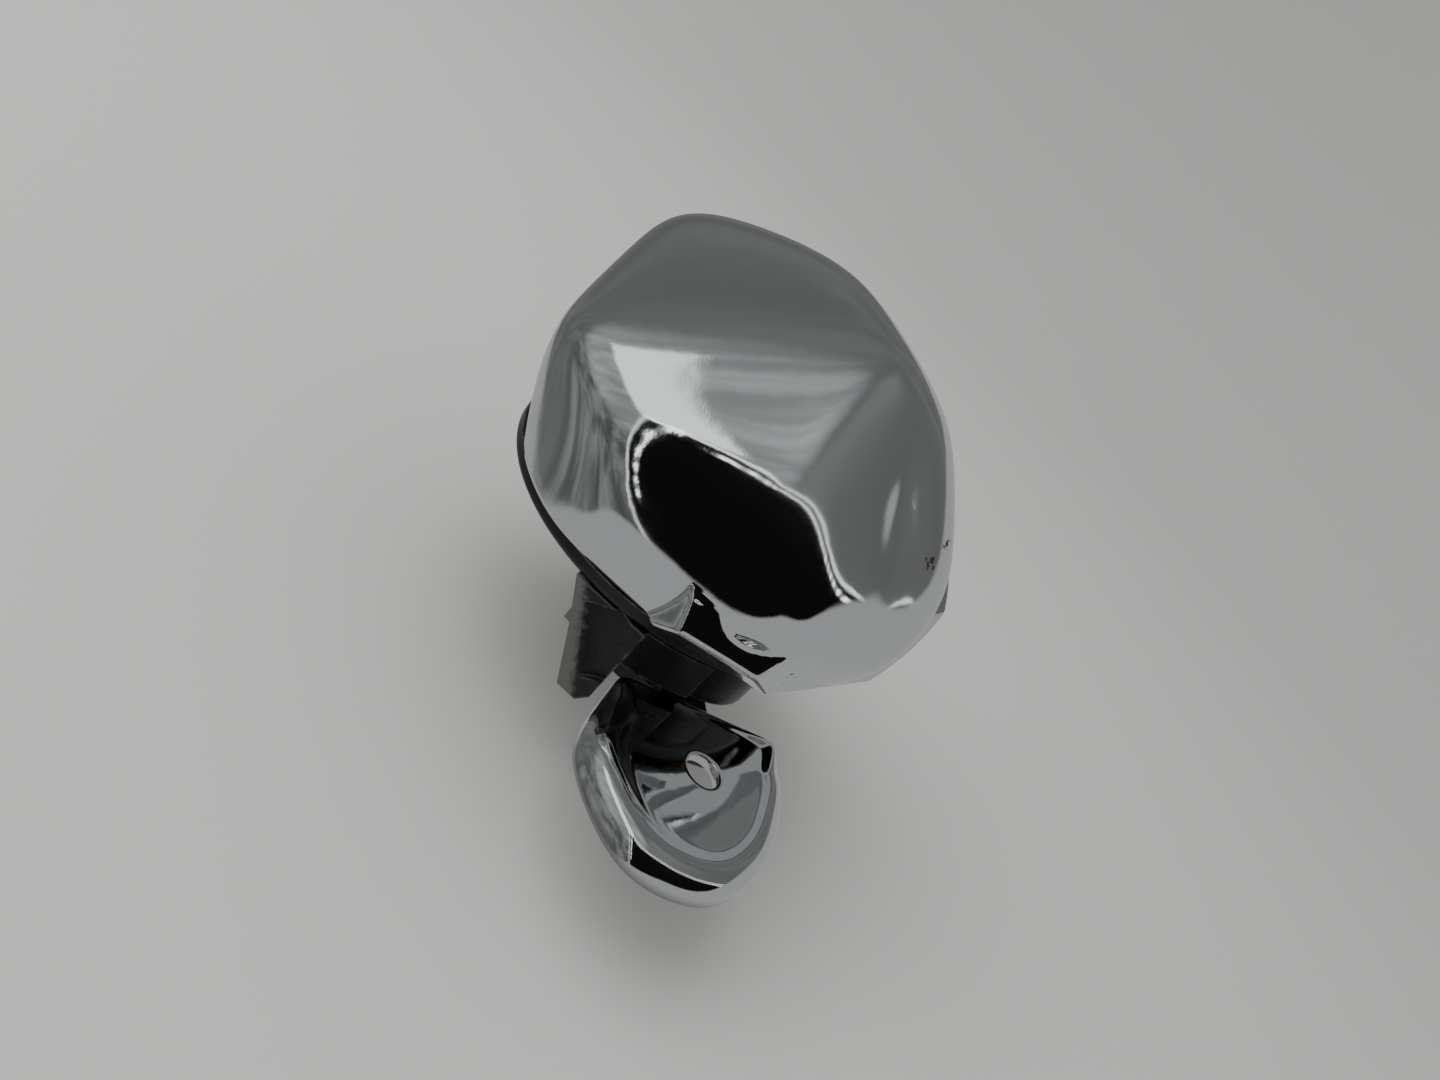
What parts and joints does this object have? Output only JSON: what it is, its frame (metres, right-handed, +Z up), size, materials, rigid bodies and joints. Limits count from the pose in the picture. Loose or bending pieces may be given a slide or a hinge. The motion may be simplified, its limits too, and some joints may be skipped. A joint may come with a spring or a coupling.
{
  "type": "bicycle bell",
  "caption": "Faceted dome bicycle bell on a black tray with a vertical-pivot thumb lever, geared rotary striker and handlebar clamp.",
  "frame": {"origin": "centre of the 22.2 mm handlebar bore, midway along the clamp", "axes": "+X along the handlebar, +Z up the gong axis, thumb lever on the -Y side"},
  "size_m": [0.0769, 0.0977, 0.0756],
  "materials": {
    "chrome_gong": "polished, worn chips at one crease",
    "chrome_lever": "polished, dulled cast edge",
    "zinc_boss": "dull grey",
    "black_tray": "black, worn grey lip",
    "black_casting": "rough black casting",
    "black_arm": "satin black",
    "liner_rubber": "matt",
    "steel": "plain zinc-plated steel",
    "spring_steel": "oiled",
    "brass_gears": "stamped brass"
  },
  "bodies": {
    "base": {"anvil_a": "zinc_boss", "anvil_b": "zinc_boss", "arbor_bush": "brass_gears", "base_tray": "black_tray", "centre_post": "steel", "clamp_nut_front": "steel", "clamp_nut_rear": "steel", "clamp_screw_front": "steel", "clamp_screw_rear": "steel", "clamp_strap": "black_casting", "gong_boss": "zinc_boss", "gong_dome": "chrome_gong", "housing_rivet_a": "steel", "housing_rivet_b": "steel", "lever_housing": "black_casting", "lever_spring": "spring_steel", "liner_lower": "liner_rubber", "liner_upper": "liner_rubber", "pivot_clip": "steel", "pivot_pin": "steel", "rotor_clip": "steel", "saddle_block": "black_casting", "saddle_rivet_a": "steel", "saddle_rivet_b": "steel"},
    "lever": {"thumb_lever": "chrome_lever", "lever_arm": "black_arm", "lever_rivet_a": "steel", "lever_rivet_b": "steel", "sector_gear": "brass_gears"},
    "arbor": {"arbor_shaft": "steel", "arbor_pinion": "brass_gears", "arbor_wheel": "brass_gears"},
    "rotor": {"rotor_pinion": "brass_gears", "rotor_arm": "steel", "striker_pin_a": "steel", "striker_pin_b": "steel"},
    "striker_a": {"striker_ring_a": "steel"},
    "striker_b": {"striker_ring_b": "steel"}
  },
  "joints": [
    {"name": "lever_swing", "type": "hinge", "parent": "base", "child": "lever", "pos_m": [0.011, -0.036, 0.005], "axis": [0, 0, 1], "range_deg": [0, 22], "stiffness_Nm_per_rad": 0.012, "springref_deg": -20.05},
    {"name": "arbor_spin", "type": "hinge", "parent": "base", "child": "arbor", "pos_m": [0.0159, -0.0166, 0.01], "axis": [0, 0, 1], "range_deg": [-90, 2]},
    {"name": "rotor_spin", "type": "hinge", "parent": "base", "child": "rotor", "pos_m": [0, -0.022, 0.022], "axis": [0, 0, 1], "range_deg": [-2, 222]},
    {"name": "striker_a_throw", "type": "slide", "parent": "rotor", "child": "striker_a", "axis": [0, -1, 0], "range_m": [0, 0.0008]},
    {"name": "striker_b_throw", "type": "slide", "parent": "rotor", "child": "striker_b", "axis": [0, 1, 0], "range_m": [0, 0.0008]}
  ],
  "couplings": [
    {"joint": "arbor_spin", "follows": "lever_swing", "ratio": -4},
    {"joint": "rotor_spin", "follows": "lever_swing", "ratio": 10}
  ]
}
